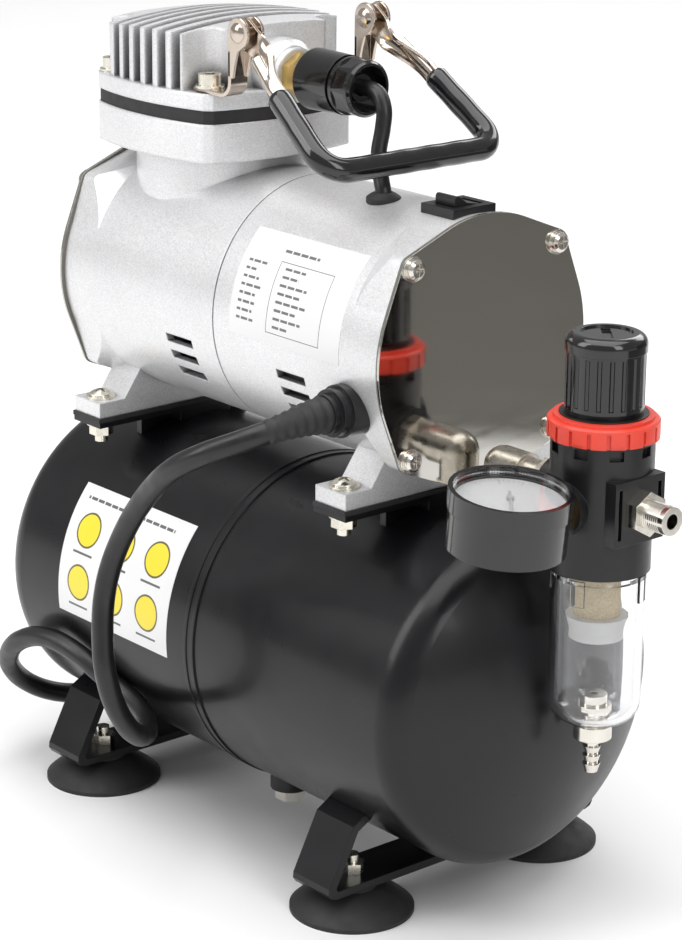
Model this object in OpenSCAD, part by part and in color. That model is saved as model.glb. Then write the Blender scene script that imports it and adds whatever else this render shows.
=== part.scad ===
// Airbrush compressor: piston compressor on an air tank, with a filter regulator.
// Millimetres, +Z up. X runs along the tank towards the regulator, -Y is the cord side.
// The origin is on the floor, midway between the four suction feet.

/* [Tank] */
// Outer radius of the tank
tank_r = 63; // [62:0.5:64]
// Height of the tank axis
tank_z = 80.5; // [80:0.5:81]
// Half length of the straight part of the tank
tank_half = 106; // [104:1:108]
// Wall thickness of the tank
tank_wall = 2; // [1.5:0.25:2.5]

/* [Feet] */
// Distance of the leg brackets from the middle
foot_x = 76; // [74:1:78]
// Distance of the feet from the middle plane
foot_y = 46; // [45:0.5:47]
// Radius of a suction foot
cup_r = 22.5; // [21:0.5:23]

/* [Motor] */
// Radius of the motor housing
motor_r = 47; // [46.5:0.25:47]
// Height of the motor shaft
motor_z = 202; // [202:0.25:202.5]
// Inner face of the end plate at the regulator end
near_x = 88; // [87:0.5:89]
// Inner face of the far end plate
far_x = -94.5; // [-96:0.5:-94]
// Where the two castings meet
seam_x = -2.5; // [-3:0.5:-2]

/* [Compressor] */
// Position of the cylinder along the motor
cyl_x = -55.5; // [-56:0.25:-55]
// Cylinder bore radius
bore_r = 25; // [24.5:0.25:25.5]
// Crank throw, half the stroke
throw = 5; // [4:0.5:5]
// Underside of the cylinder flange
flange_z = 253.5; // [253:0.5:254]
// Number of slots between the cooling fins
fin_slots = 6; // [4:1:6]

/* [Handle] */
// Height of the handle pivots
pivot_z = 303; // [302:0.5:304]
// Length from pivot to grip
bail_len = 70; // [68:0.5:72]
// Angle of the folded handle below level
bail_rest = 35; // [34.5:0.1:35.5]

/* [Regulator] */
// Regulator axis
reg_x = 148; // [147.5:0.25:148.5]
// Height of the air ports
port_z = 163.3; // [163:0.1:163.6]
// Radius of the knob
knob_r = 13.3; // [13:0.1:13.5]
// Radius of the gauge
gauge_r = 20.6; // [20:0.1:21]

/* [Cord] */
// Diameter of the power cord
cord_d = 8; // [7.5:0.1:8]

/* [Hidden] */
$fn = 48;
lean = 0.02;                   // smallest step between cutting faces
throat_z = 143.5;              // top of the tank
plate_r = 48.2;                // round part of the end plates
lug = 33.6;                    // corner screws of the end plates, from the shaft
bar_y = 44;                    // motor screws, from the middle plane
bar_x = [-76.5, 67.5];         // the two motor mounts
head_z = flange_z + 19.3;      // underside of the cylinder head
screw_o = 29.3;                // head screws, from the cylinder axis
gauge_y = -42.8;
gauge_tilt = 6;
bowl_top = 139.5;
bail_y = 37.7;                 // sides of the handle, from the middle plane
coil_at = [-75, 134];
rocker_x = 75;
gland_x = 70;
gland_z = 184.5;

// Power cord, from the gland down in front of the tank and round its far end to the coil.
cord_way = [[70, -53, 184.5], [70, -62, 184.4], [67.6, -73.4, 182.4], [61.2, -84.6, 178.4],
    [50.2, -92.9, 172.6], [36.3, -95.8, 164], [18.6, -93.4, 149.6], [5.6, -92.7, 134.1],
    [-1.3, -94.3, 119.1], [-3.1, -96.4, 105.9], [-1.6, -98.3, 92.3], [0.5, -98.9, 80.8],
    [1.1, -95.9, 68.2], [-0.9, -88.6, 56.1], [-6.2, -79.2, 48.1], [-14.4, -69.8, 44.4],
    [-24.7, -62.7, 44.4], [-35.5, -59.3, 46.4], [-45.7, -59.2, 49.3], [-54.3, -61.3, 52.9],
    [-64.4, -63.8, 58.1], [-78.6, -66.1, 61.1], [-91.7, -67.6, 59.2], [-104.7, -67.7, 52.1],
    [-115.8, -63.4, 41.2], [-121.4, -55.5, 30.9], [-122.4, -45.5, 23], [-120, -35, 18.5],
    [-116, -24, 17], [-115, -8, 14.5], [-114, 12, 10], [-113, 34, 6], [-113, 56, 4.3],
    [-114.5, 76, 4.2], [-119, 96, 4.2], [-124.5, 114, 4.2], [-127, 130, 4.2]];
// Lead of the pressure switch, into the top of the motor.
lead_way = [[19, 0, 284], [26, 0, 284.4], [33, -0.3, 283.2], [36.8, -1, 278], [37.3, -2, 271.5],
    [37.8, -4, 264.5], [39, -5, 259.5], [41.8, -6.2, 254.6], [43.8, -7, 251], [44, -7, 247.4]];

// ---------- helpers ----------
module along_x(x0, x1, r, y = 0, z = 0, fn = 96)
    translate([x0, y, z]) rotate([0, 90, 0]) cylinder(r = r, h = x1 - x0, $fn = fn);

module along_y(y0, y1, r, x = 0, z = 0, fn = 48)
    translate([x, y0, z]) rotate([-90, 0, 0]) cylinder(r = r, h = y1 - y0, $fn = fn);

module nut(af, h, hole)
    difference() {
        cylinder(r = af / 2 / cos(30), h = h, $fn = 6);
        if (hole > 0) translate([0, 0, -1]) cylinder(r = hole, h = h + 2);
    }

// Tube along a list of points, smoothed between them.
function smooth(p, i, t) =
    let (a = p[max(i - 1, 0)], b = p[i], c = p[i + 1], d = p[min(i + 2, len(p) - 1)])
    0.5 * (2 * b + (c - a) * t + (2 * a - 5 * b + 4 * c - d) * t * t
        + (3 * b - a - 3 * c + d) * t * t * t);
function unit(v) = v / norm(v);
function frames(c, i = 0, side = undef) = i >= len(c) ? [] :
    let (t = unit(c[min(i + 1, len(c) - 1)] - c[max(i - 1, 0)]),
        s0 = side == undef ? [0.1, 0.2, 1] : side,
        s = unit(s0 - (s0 * t) * t))
    concat([[c[i], s, cross(t, s)]], frames(c, i + 1, s));

module tube(way, r, steps, sides = 12) {
    c = concat([for (i = [0 : len(way) - 2]) for (k = [0 : steps - 1]) smooth(way, i, k / steps)],
        [way[len(way) - 1]]);
    f = frames(c);
    n = len(f);
    points = [for (g = f) for (k = [0 : sides - 1])
        g[0] + r * (cos(360 * k / sides) * g[1] + sin(360 * k / sides) * g[2])];
    polyhedron(points = points, faces = concat(
        [[for (k = [0 : sides - 1]) sides - 1 - k]],
        [for (i = [0 : n - 2]) for (k = [0 : sides - 1]) let (m = (k + 1) % sides)
            [i * sides + k, i * sides + m, (i + 1) * sides + m]],
        [for (i = [0 : n - 2]) for (k = [0 : sides - 1]) let (m = (k + 1) % sides)
            [i * sides + k, (i + 1) * sides + m, (i + 1) * sides + k]],
        [[for (k = [0 : sides - 1]) (n - 1) * sides + k]]));
}

// ---------- tank ----------
knuckle_r = 13;
crown_r = 112;
knuckle_c = tank_r - knuckle_r;
crown_c = tank_half - sqrt((crown_r - knuckle_r) * (crown_r - knuckle_r) - knuckle_c * knuckle_c);

// Half of the tank as a solid of revolution, grown inwards by t.
module tank_half_solid(t)
    translate([0, 0, tank_z]) rotate([0, 90, 0]) union() {
        cylinder(r = tank_r - t, h = tank_half, $fn = 144);
        rotate_extrude($fn = 144) intersection() {
            translate([0, tank_half - lean]) square([tank_r, 60]);
            union() {
                translate([knuckle_c, tank_half]) circle(r = knuckle_r - t, $fn = 72);
                intersection() {
                    translate([0, crown_c]) circle(r = crown_r - t, $fn = 180);
                    polygon([[0, crown_c], [0, 200], [(200 - crown_c) * knuckle_c
                        / (tank_half - crown_c), 200]]);
                }
                square([knuckle_c, tank_half]);
                polygon([[0, crown_c], [knuckle_c, tank_half], [0, tank_half]]);
            }
        }
    }

module tank_half_left() color([0.05, 0.05, 0.055]) difference() {
    mirror([1, 0, 0]) tank_half_solid(0);
    mirror([1, 0, 0]) translate([-1, 0, 0]) tank_half_solid(tank_wall);
}

module tank_half_right() color([0.05, 0.05, 0.055]) difference() {
    union() {
        tank_half_solid(0);
        translate([0, 0, tank_z]) rotate([0, 90, 0]) rotate_extrude($fn = 144) union() {
            translate([tank_r - 1, 0]) square([1.6, 1.6]);
            translate([tank_r - 1, 4.2]) square([1.6, 1.6]);
            translate([tank_r - 1, 0]) square([1.25, 5.8]);
        }
        translate([101, 0, throat_z - 4]) cylinder(r = 10, h = 9);
        translate([8, -19, 16.4]) cylinder(r = 7.5, h = 8);
    }
    translate([-1, 0, 0]) tank_half_solid(tank_wall);
    translate([101, 0, throat_z - 6]) cylinder(r = 4.9, h = 20);
    translate([8, -19, 14]) cylinder(r = 4.2, h = 12);
}

module drain_plug() color([0.75, 0.72, 0.66]) translate([8, -19, 1.4]) difference() {
    union() {
        translate([0, 0, 10.4]) nut(10, 4.6, 0);
        translate([0, 0, 14.9]) cylinder(r = 4.2, h = 5);
    }
    translate([0, 0, 10]) cylinder(r = 2.6, h = 2.4, $fn = 6);
}

// ---------- feet ----------
// Right half of a leg bracket's outline, seen along the tank.
leg_half = [[61.5, 11], [64, 11.8], [65.2, 13.6], [65, 15.8], [54.2, 36.8],
    [45, 42], [44, 38.6], [51.8, 34.6], [61.6, 15.2], [61, 14]];

module leg_bracket(x) color([0.05, 0.05, 0.055]) difference() {
    translate([x + 10, 0, 0]) rotate([90, 0, -90]) linear_extrude(20)
        polygon(concat([for (p = leg_half) p],
            [for (i = [9 : -1 : 0]) [-leg_half[i][0], leg_half[i][1]]]));
    translate([x - 20, 0, tank_z]) rotate([0, 90, 0]) cylinder(r = tank_r, h = 40, $fn = 144);
    for (s = [-1, 1]) translate([x, s * foot_y, 8]) cylinder(r = 2.8, h = 8);
}

module leg_bracket_left() leg_bracket(-foot_x);
module leg_bracket_right() leg_bracket(foot_x);

module suction_foot() difference() {
    union() {
        intersection() {
            translate([0, 0, -21.9]) sphere(r = sqrt(pow(cup_r, 2) + pow(23.4, 2)), $fn = 96);
            cylinder(r = cup_r, h = 9.9, $fn = 96);
        }
        translate([0, 0, 8]) cylinder(r = 9, h = 3);
    }
    translate([0, 0, -31]) sphere(r = 36.6, $fn = 96);
    translate([0, 0, 7.4]) cylinder(r = 5, h = 1.6);
    translate([0, 0, 5]) cylinder(r = 2.5, h = 10);
}

module suction_feet() color([0.06, 0.06, 0.065])
    for (x = [-foot_x, foot_x]) for (y = [-foot_y, foot_y]) translate([x, y, 0]) suction_foot();

module foot_fasteners() color([0.8, 0.74, 0.5])
    for (x = [-foot_x, foot_x]) for (y = [-foot_y, foot_y]) translate([x, y, 0]) {
        translate([0, 0, 7.4]) cylinder(r = 5, h = 1.6);
        translate([0, 0, 6.4]) cylinder(r = 2.5, h = 14.6);
        translate([0, 0, 14]) nut(8, 4, 2.5);
    }

// ---------- motor mounts ----------
module saddle_bars() color([0.05, 0.05, 0.055]) for (x = bar_x) difference() {
    union() {
        translate([x - 8.5, -50.6, 146.2]) cube([17, 101.2, 2.1]);
        translate([x - 1.5, -26, 130]) cube([3, 52, 16.3]);
        translate([x - 8.5, -12, 139]) cube([17, 24, 7.3]);
    }
    along_x(x - 20, x + 20, tank_r, 0, tank_z, 144);
    for (s = [-1, 1]) translate([x, s * bar_y, 140]) cylinder(r = 2.8, h = 10);
}

module rubber_strips() color([0.06, 0.06, 0.065]) for (x = bar_x) difference() {
    translate([x - 8.6, -51, 148.3]) cube([17.2, 102, 1.7]);
    for (s = [-1, 1]) translate([x, s * bar_y, 140]) cylinder(r = 2.8, h = 12);
}

module motor_fasteners() color([0.82, 0.78, 0.7])
    for (x = bar_x) for (y = [-bar_y, bar_y]) translate([x, y, 0]) {
        difference() {
            union() {
                intersection() {
                    translate([0, 0, 156]) cylinder(r = 4.4, h = 3.2);
                    translate([0, 0, 152.2]) sphere(r = 7, $fn = 64);
                }
                translate([0, 0, 156]) cylinder(r = 5.6, h = 0.8);
                translate([0, 0, 138.6]) cylinder(r = 2.5, h = 18);
            }
            translate([-0.6, -2.6, 157.6]) cube([1.2, 5.2, 3]);
            translate([-2.6, -0.6, 157.6]) cube([5.2, 1.2, 3]);
        }
        difference() {
            translate([0, 0, 145.2]) cylinder(r = 5.5, h = 1);
            translate([0, 0, 140]) cylinder(r = 2.5, h = 6);
        }
        translate([0, 0, 141.4]) nut(8, 3.8, 2.5);
    }

// ---------- castings ----------
// Outline of the end plates: a circle with four rounded corners joined by straight edges.
module plate_outline(grow, r0 = plate_r) {
    r1 = 4.6 + grow;
    d = norm([lug, lug]);
    a = acos((r0 - r1) / d);
    circle(r = r0, $fn = 120);
    for (q = [45 : 90 : 315]) {
        p = d * [cos(q), sin(q)];
        translate(p) circle(r = r1);
        polygon([r0 * [cos(q - a), sin(q - a)], p + r1 * [cos(q - a), sin(q - a)],
            p + r1 * [cos(q + a), sin(q + a)], r0 * [cos(q + a), sin(q + a)]]);
    }
}

module plate_solid(x)
    translate([x, 0, motor_z]) rotate([90, 0, 90]) linear_extrude(1) plate_outline(0);

// Corner webs of a casting, which run out into its round side away from the plate at x.
module corner_webs(x, away) translate([x, 0, motor_z]) mirror([away > 0 ? 0 : 1, 0, 0])
    intersection() {
        rotate([90, 0, 90]) linear_extrude(19) plate_outline(-0.4, motor_r - 0.2);
        rotate([0, 90, 0]) cylinder(r1 = 54.6, r2 = 46, h = 19, $fn = 144);
    }

// Foot flange and its sloping webs under one end of a casting.
module cast_foot(x) {
    translate([x - 8, -50.3, 150]) cube([16, 100.6, 6]);
    translate([x - 8, 0, 0]) rotate([90, 0, 90]) linear_extrude(16)
        polygon([[-38.5, 156], [-30, 168], [30, 168], [38.5, 156]]);
}

module vents(x0)
    for (z = [175.6, 182.3, 189]) for (s = [0, 1]) mirror([0, s, 0])
        translate([x0, -50, z - 1.5]) cube([15.5, 22, 3.2]);

module screw_holes(x, r)
    for (a = [-1, 1]) for (b = [-1, 1]) along_x(x - 8, x + 8, r, a * lug, motor_z + b * lug, 24);

module crankcase() color([0.72, 0.72, 0.73]) difference() {
    union() {
        along_x(far_x, seam_x - 0.3, motor_r, 0, motor_z, 144);
        corner_webs(far_x, 1);
        translate([cyl_x, 0, 205]) cylinder(r = 33, h = flange_z - 205, $fn = 96);
        cast_foot(bar_x[0]);
    }
    along_x(far_x - 1, -14, motor_r - 3, 0, motor_z, 144);
    along_x(-10, 2, motor_r - 3, 0, motor_z, 144);
    along_x(-20, 2, 11, 0, motor_z);
    translate([cyl_x, 0, 210]) cylinder(r = 28.1, h = 60, $fn = 96);
    vents(-32.5);
    screw_holes(far_x, 1.8);
    for (s = [-1, 1]) translate([bar_x[0], s * bar_y, 145]) cylinder(r = 2.8, h = 20);
}

module motor_casing() color([0.72, 0.72, 0.73]) difference() {
    union() {
        along_x(seam_x + 0.3, near_x, motor_r, 0, motor_z, 144);
        along_x(seam_x - 0.3, seam_x + 0.3, motor_r - 0.8, 0, motor_z, 144);
        difference() {
            corner_webs(near_x, -1);
            along_y(-60, -40, 9.4, gland_x, gland_z);
        }
        cast_foot(bar_x[1]);
    }
    along_x(-8, 60, motor_r - 3, 0, motor_z, 144);
    along_x(65, near_x + 1, motor_r - 3, 0, motor_z, 144);
    along_x(55, 70, 11, 0, motor_z);
    for (q = [0 : 60 : 300]) translate([58, 0, motor_z]) rotate([q, 0, 0])
        along_x(0, 10, 8, 28, 0, 32);
    vents(31.8);
    screw_holes(near_x, 1.8);
    for (s = [-1, 1]) translate([bar_x[1], s * bar_y, 145]) cylinder(r = 2.8, h = 20);
    translate([rocker_x - 6.5, -8, 230]) cube([13, 16, 30]);
    translate([44, -7, 230]) cylinder(r = 3, h = 30);
    along_y(-52, -30, 6.6, gland_x, gland_z);
}

module plate_gaskets() color([0.55, 0.53, 0.48]) {
    difference() {
        translate([near_x, 0, motor_z]) rotate([90, 0, 90]) linear_extrude(0.6) plate_outline(0);
        along_x(near_x - 1, near_x + 2, motor_r - 3, 0, motor_z, 144);
        screw_holes(near_x, 1.8);
    }
    difference() {
        translate([far_x - 0.6, 0, motor_z]) rotate([90, 0, 90]) linear_extrude(0.6) plate_outline(0);
        along_x(far_x - 2, far_x + 1, motor_r - 3, 0, motor_z, 144);
        screw_holes(far_x, 1.8);
    }
}

module near_end_plate() color([0.8, 0.79, 0.76]) difference() {
    plate_solid(near_x + 0.6);
    screw_holes(near_x, 1.8);
}

module far_end_plate() color([0.8, 0.79, 0.76]) difference() {
    plate_solid(far_x - 1.6);
    screw_holes(far_x, 1.8);
    for (q = [0 : 60 : 300]) translate([0, 0, motor_z]) rotate([q, 0, 0])
        along_x(far_x - 4, far_x + 1, 3, 20, 0, 24);
}

// Screw with a washer, its head at the origin, its shank down the -X axis.
module plate_screw() difference() {
    union() {
        along_x(0, 0.7, 4.4, 0, 0, 32);
        along_x(0.6, 2.2, 3.6, 0, 0, 32);
        translate([2.1, 0, 0]) rotate([0, 90, 0]) cylinder(r1 = 3.6, r2 = 2.5, h = 0.9, $fn = 32);
        along_x(-8, 0.6, 1.8, 0, 0, 24);
    }
    translate([2, -0.45, -2.2]) cube([2, 0.9, 4.4]);
    translate([2, -2.2, -0.45]) cube([2, 4.4, 0.9]);
}

module plate_screws() color([0.85, 0.84, 0.82])
    for (a = [-1, 1]) for (b = [-1, 1]) {
        translate([near_x + 1.6, a * lug, motor_z + b * lug]) plate_screw();
        translate([far_x - 1.6, a * lug, motor_z + b * lug]) mirror([1, 0, 0]) plate_screw();
    }

// ---------- cylinder and head ----------
// Square with four bulging sides and rounded corners.
module pillow(half, z0, h) {
    r = 108;
    intersection() {
        for_sides(half, z0, h, r);
        translate([cyl_x, 0, z0]) cylinder(r = half * 1.195, h = h, $fn = 96);
    }
}

module for_sides(half, z0, h, r) intersection() {
    translate([cyl_x + half - r, 0, z0]) cylinder(r = r, h = h, $fn = 288);
    translate([cyl_x - half + r, 0, z0]) cylinder(r = r, h = h, $fn = 288);
    translate([cyl_x, half - r, z0]) cylinder(r = r, h = h, $fn = 288);
    translate([cyl_x, r - half, z0]) cylinder(r = r, h = h, $fn = 288);
}

module head_holes(r, z0, h)
    for (a = [-1, 1]) for (b = [-1, 1])
        translate([cyl_x + a * screw_o, b * screw_o, z0]) cylinder(r = r, h = h, $fn = 32);

module cylinder_block() color([0.75, 0.75, 0.76]) difference() {
    union() {
        pillow(39.4, flange_z, 14.3);
        translate([cyl_x, 0, flange_z - 11]) cylinder(r = 28, h = 12, $fn = 96);
    }
    translate([cyl_x, 0, flange_z - 12]) cylinder(r = bore_r, h = 30, $fn = 96);
    head_holes(2.1, flange_z + 4, 20);
}

module head_gasket() color([0.05, 0.05, 0.055]) difference() {
    pillow(38.9, flange_z + 14.3, 5);
    translate([cyl_x, 0, flange_z + 12]) cylinder(r = bore_r + 0.5, h = 10, $fn = 96);
    head_holes(2.1, flange_z + 12, 10);
}

// Finned block with a domed top and a pocket at each corner for its screw.
module cylinder_head() color([0.82, 0.82, 0.83]) difference() {
    union() {
        pillow(39.4, head_z, 6.2);
        intersection() {
            pillow(38.6, head_z + 1, 31);
            translate([-50, 0, 73]) sphere(r = 230, $fn = 240);
            translate([-100, -50, head_z]) cube([76.5, 100, 40]);
        }
        along_x(-40, -17, 12.5, 0, 284, 64);
        translate([-17.1, 0, 284]) rotate([0, 90, 0]) cylinder(r1 = 12.4, r2 = 10.2, h = 2.4, $fn = 64);
        along_x(-15, -12, 9.6, 0, 284, 64);
    }
    for (i = [0 : fin_slots - 1])
        translate([-74.3 + i * 7.1, -50, head_z + 6.2]) cube([4.4, 100, 40]);
    for (a = [0, 1]) for (b = [0, 1]) translate([cyl_x, 0, 0]) mirror([a, 0, 0]) mirror([0, b, 0])
        translate([screw_o, screw_o, head_z + 6.2]) {
            cylinder(r = 7.2, h = 40);
            translate([-7.2, 0, 0]) cube([20, 20, 40]);
        }
    head_holes(2.1, head_z - 1, 20);
    translate([cyl_x, 0, head_z - 1]) cylinder(r = 18, h = 5.5);
    along_x(-40, -28, 1.7, 0, head_z + 2.4, 24);
    translate([-29.8, 0, head_z + 2.4]) cylinder(r = 1.7, h = 9, $fn = 24);
    along_x(-32, -8, 4, 0, 284, 32);
    translate([-41, -20, head_z - 10]) cube([41, 40, 10]);
}

module head_screws() color([0.85, 0.8, 0.68]) for (a = [-1, 1]) for (b = [-1, 1])
    translate([cyl_x + a * screw_o, b * screw_o, 0]) {
        lift = a > 0 ? 1.6 : 0;
        difference() {
            union() {
                translate([0, 0, 279 + lift]) cylinder(r = 5.4, h = 0.9, $fn = 32);
                translate([0, 0, 279.8 + lift]) cylinder(r = 4.3, h = 4.2, $fn = 32);
                translate([0, 0, 259]) cylinder(r = 2.1, h = 21 + lift, $fn = 32);
            }
            translate([0, 0, 281.4 + lift]) cylinder(r = 2.3, h = 4, $fn = 6);
        }
    }

// ---------- moving parts inside ----------
module piston() color([0.7, 0.7, 0.7]) translate([cyl_x, 0, 0]) difference() {
    union() {
        translate([0, 0, 249]) cylinder(r = bore_r - 0.08, h = 12, $fn = 96);
        translate([0, 0, 245]) cylinder(r = 9, h = 5);
    }
    translate([0, 0, 258]) cylinder(r = 18, h = 4);
}

module connecting_rod() color([0.7, 0.7, 0.7]) difference() {
    union() {
        along_x(cyl_x - 2.5, cyl_x + 2.5, 16, 0, motor_z, 64);
        translate([cyl_x - 2.5, -6, motor_z + 14]) cube([5, 12, 245 - motor_z - 14]);
    }
    along_x(cyl_x - 5, cyl_x + 5, 13, 0, motor_z, 64);
}

module crank_disc() color([0.45, 0.45, 0.46]) {
    difference() {
        along_x(-51, -45, 16, 0, motor_z, 64);
        along_x(-48, -44, 4, 0, motor_z, 32);
    }
    along_x(-60, -51, 2.4, throw, motor_z, 32);
}

module motor_shaft() color([0.75, 0.75, 0.76]) along_x(-48, 84, 4, 0, motor_z, 32);

module rotor() color([0.5, 0.5, 0.52]) difference() {
    along_x(14, 46, 22, 0, motor_z, 96);
    along_x(13, 47, 4, 0, motor_z, 32);
}

module stator() color([0.4, 0.4, 0.42]) difference() {
    along_x(16, 44, motor_r - 3, 0, motor_z, 144);
    along_x(15, 45, 22.5, 0, motor_z, 96);
}

module stator_coils() color([0.72, 0.4, 0.2]) for (x = [[6, 16], [44, 54]]) difference() {
    along_x(x[0], x[1], 38, 0, motor_z, 96);
    along_x(x[0] - 1, x[1] + 1, 25, 0, motor_z, 96);
}

module bearings() color([0.75, 0.75, 0.76]) for (x = [-14, 60]) difference() {
    along_x(x, x + 4.5, 11, 0, motor_z);
    along_x(x - 1, x + 6, 4.05, 0, motor_z, 32);
}

module cooling_fan() color([0.2, 0.2, 0.22]) difference() {
    union() {
        along_x(72, 82, 9, 0, motor_z, 48);
        for (q = [0 : 60 : 300]) translate([77, 0, motor_z]) rotate([q, 0, 0])
            translate([-4.5, -0.8, 7]) cube([9, 1.6, 26]);
    }
    along_x(70, 84, 4, 0, motor_z, 32);
}

// ---------- pressure switch, lead, rocker ----------
module switch_nipple() color([0.85, 0.68, 0.3]) difference() {
    union() {
        along_x(-30, -11.9, 4, 0, 284, 32);
        translate([-12, 0, 284]) rotate([0, 90, 0]) nut(14.4, 9.4, 0);
        along_x(-2.7, 6, 6, 0, 284, 32);
    }
    along_x(-31, 7, 2, 0, 284, 24);
}

module pressure_switch() color([0.05, 0.05, 0.055]) translate([0, 0, 284]) rotate([0, 90, 0])
    difference() {
        union() {
            translate([0, 0, -2.4]) cylinder(r1 = 10.5, r2 = 11.2, h = 1.2, $fn = 64);
            translate([0, 0, -1.3]) cylinder(r1 = 11.2, r2 = 10.8, h = 17.3, $fn = 64);
            translate([0, 0, 15.9]) cylinder(r = 9.7, h = 1.3, $fn = 64);
            translate([0, 0, 17.1]) cylinder(r1 = 10.5, r2 = 10.1, h = 9.4, $fn = 64);
            translate([0, 0, 26.4]) cylinder(r1 = 10, r2 = 9.2, h = 1.1, $fn = 64);
        }
        translate([0, 0, -4]) cylinder(r = 6.1, h = 10.3, $fn = 32);
        difference() {
            translate([0, 0, 21]) cylinder(r = 8.3, h = 10, $fn = 64);
            translate([0, 0, 20]) cylinder(r = 5, h = 3.6, $fn = 48);
        }
        translate([0, 0, 18]) cylinder(r = 2.9, h = 8, $fn = 24);
        for (q = [0 : 45 : 315]) rotate([0, 0, q + 22.5]) translate([9.75, -5, 18.6]) cube([3, 10, 6.6]);
    }

module switch_lead() color([0.05, 0.05, 0.055]) tube(lead_way, 2.8, 5, 12);

module lead_grommet() color([0.05, 0.05, 0.055]) difference() {
    intersection() {
        translate([44, -7, 244]) cylinder(r = 6.2, h = 9, $fn = 64);
        translate([44, -7, 242.6]) sphere(r = 9, $fn = 96);
    }
    along_x(30, 60, motor_r, 0, motor_z, 144);
    translate([44, -7, 240]) cylinder(r = 3.1, h = 20);
}

module rocker_bezel() color([0.05, 0.05, 0.055]) difference() {
    union() {
        difference() {
            translate([rocker_x - 8.3, -9.8, 246]) cube([16.6, 19.6, 5.4]);
            along_x(60, 95, motor_r, 0, motor_z, 144);
        }
        translate([rocker_x - 6.3, -7.9, 240.5]) cube([12.6, 15.8, 9]);
    }
    translate([rocker_x - 5.1, -7, 242]) cube([10.2, 14, 20]);
    along_x(rocker_x - 5.8, rocker_x + 5.8, 1.25, 0, 249.5, 24);
}

module rocker() color([0.06, 0.06, 0.065]) union() {
    translate([rocker_x - 4.9, 0, 0]) rotate([90, 0, 90]) linear_extrude(9.8)
        polygon([[-6.1, 249.8], [-6.2, 254], [-5.6, 254.9], [-4.4, 254.9], [-0.6, 252.3], [6.1, 251.1],
            [6.1, 249.8], [4, 246.8], [0, 246], [-4, 246.8]]);
    along_x(rocker_x - 5.6, rocker_x + 5.6, 1.2, 0, 249.5, 24);
}

// ---------- cord ----------
module cord_gland() color([0.05, 0.05, 0.055]) difference() {
    union() {
        difference() {
            along_y(-49.5, -36, 9.3, gland_x, gland_z, 48);
            along_x(50, 90, motor_r, 0, motor_z, 144);
        }
        along_y(-53, -49.4, 8.4, gland_x, gland_z);
        along_y(-56, -53, 7, gland_x, gland_z);
        along_y(-50, -38, 6.6, gland_x, gland_z);
    }
    along_y(-54, -30, cord_d / 2 + 0.05, gland_x, gland_z);
    translate([gland_x, -53, gland_z]) rotate([-106, 0, -18]) translate([0, 0, -4])
        cylinder(r1 = 4.1, r2 = 6, h = 11);
}

module power_cord() color([0.05, 0.05, 0.055]) tube(cord_way, cord_d / 2, 2, 12);

module cord_coil() color([0.05, 0.05, 0.055]) translate([coil_at[0], coil_at[1], 0]) {
    rotate_extrude($fn = 96) union() {
        translate([5.5 * cord_d - 12, 4]) square([24, 2 * cord_d - 8]);
        translate([5.5 * cord_d - 8, 0]) square([16, 2 * cord_d]);
        for (i = [-8, 8]) for (j = [4, 2 * cord_d - 4]) translate([5.5 * cord_d + i, j]) circle(r = 4);
    }
    rotate([0, 0, 30]) rotate_extrude(angle = 150, $fn = 96)
        translate([5.5 * cord_d - 11, 2 * cord_d - 1]) square([20, cord_d + 1]);
}

// The plug rests on the coil and points along the last of the cord.
module mains_plug() color([0.05, 0.05, 0.055])
    translate([coil_at[0] + 37 * cos(30), coil_at[1] + 37 * sin(30), 2 * cord_d])
    rotate([0, 0, -60]) union() {
        translate([0, 0, 4.6]) rotate([0, 86, 0]) cylinder(r1 = 4.5, r2 = 6, h = 22, $fn = 32);
        linear_extrude(15) union() {
            translate([20, -8]) square([26, 16]);
            translate([28, -12]) square([18, 24]);
            for (s = [-1, 1]) translate([28, s * 4]) circle(r = 8, $fn = 48);
        }
        for (s = [-1, 1]) translate([46, s * 7, 7.5]) rotate([0, 90, 0]) {
            cylinder(r = 2.4, h = 17.5, $fn = 24);
            translate([0, 0, 17.4]) cylinder(r1 = 2.4, r2 = 1.2, h = 1.6, $fn = 24);
        }
    }

// ---------- handle ----------
module handle_bracket() difference() {
    union() {
        translate([-32, -4, 279]) cube([23, 8, 1.6]);
        translate([-10.6, -4, 279]) cube([1.8, 8, 20]);
        for (s = [-1, 1]) translate([0, s * 3.2, 0]) {
            translate([-10.6, -0.7, 293]) cube([4, 1.4, 11]);
            along_y(-0.7, 0.7, 5.6, -5, pivot_z, 32);
            translate([-10.6, -0.7, 293]) cube([6.2, 1.4, 6]);
        }
    }
    translate([cyl_x + screw_o, 0, 275]) cylinder(r = 2.3, h = 8);
}

module handle_brackets() color([0.8, 0.74, 0.66]) for (s = [-1, 1]) translate([0, s * 29.5, 0]) {
    difference() {
        handle_bracket();
        along_y(-6, 6, 1.9, -5, pivot_z, 24);
    }
    along_y(-4, 4, 1.9, -5, pivot_z, 24);
    along_y(-5.4, -3.9, 3.8, -5, pivot_z, 32);
    along_y(3.9, 5.4, 3.8, -5, pivot_z, 32);
}

// The handle is drawn level, its pivots on the Y axis, then turned down to where it rests.
module handle_pose() translate([-5, 0, pivot_z]) rotate([0, bail_rest, 0]) children();

// Rod of the handle: two sides, two corners and the bar between them.
module grip(r, start) union() {
    corner = 9;
    side = bail_len - corner;
    for (s = [-1, 1]) {
        translate([start, s * bail_y, 0]) rotate([0, 90, 0])
            cylinder(r = r, h = side - start, $fn = 32);
        translate([side, s * (bail_y - corner), 0]) rotate([0, 0, s > 0 ? 0 : -90])
            rotate_extrude(angle = 90, $fn = 64) translate([corner, 0]) circle(r = r, $fn = 32);
    }
    translate([bail_len, corner - bail_y, 0]) rotate([-90, 0, 0])
        cylinder(r = r, h = 2 * (bail_y - corner), $fn = 32);
}

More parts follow.
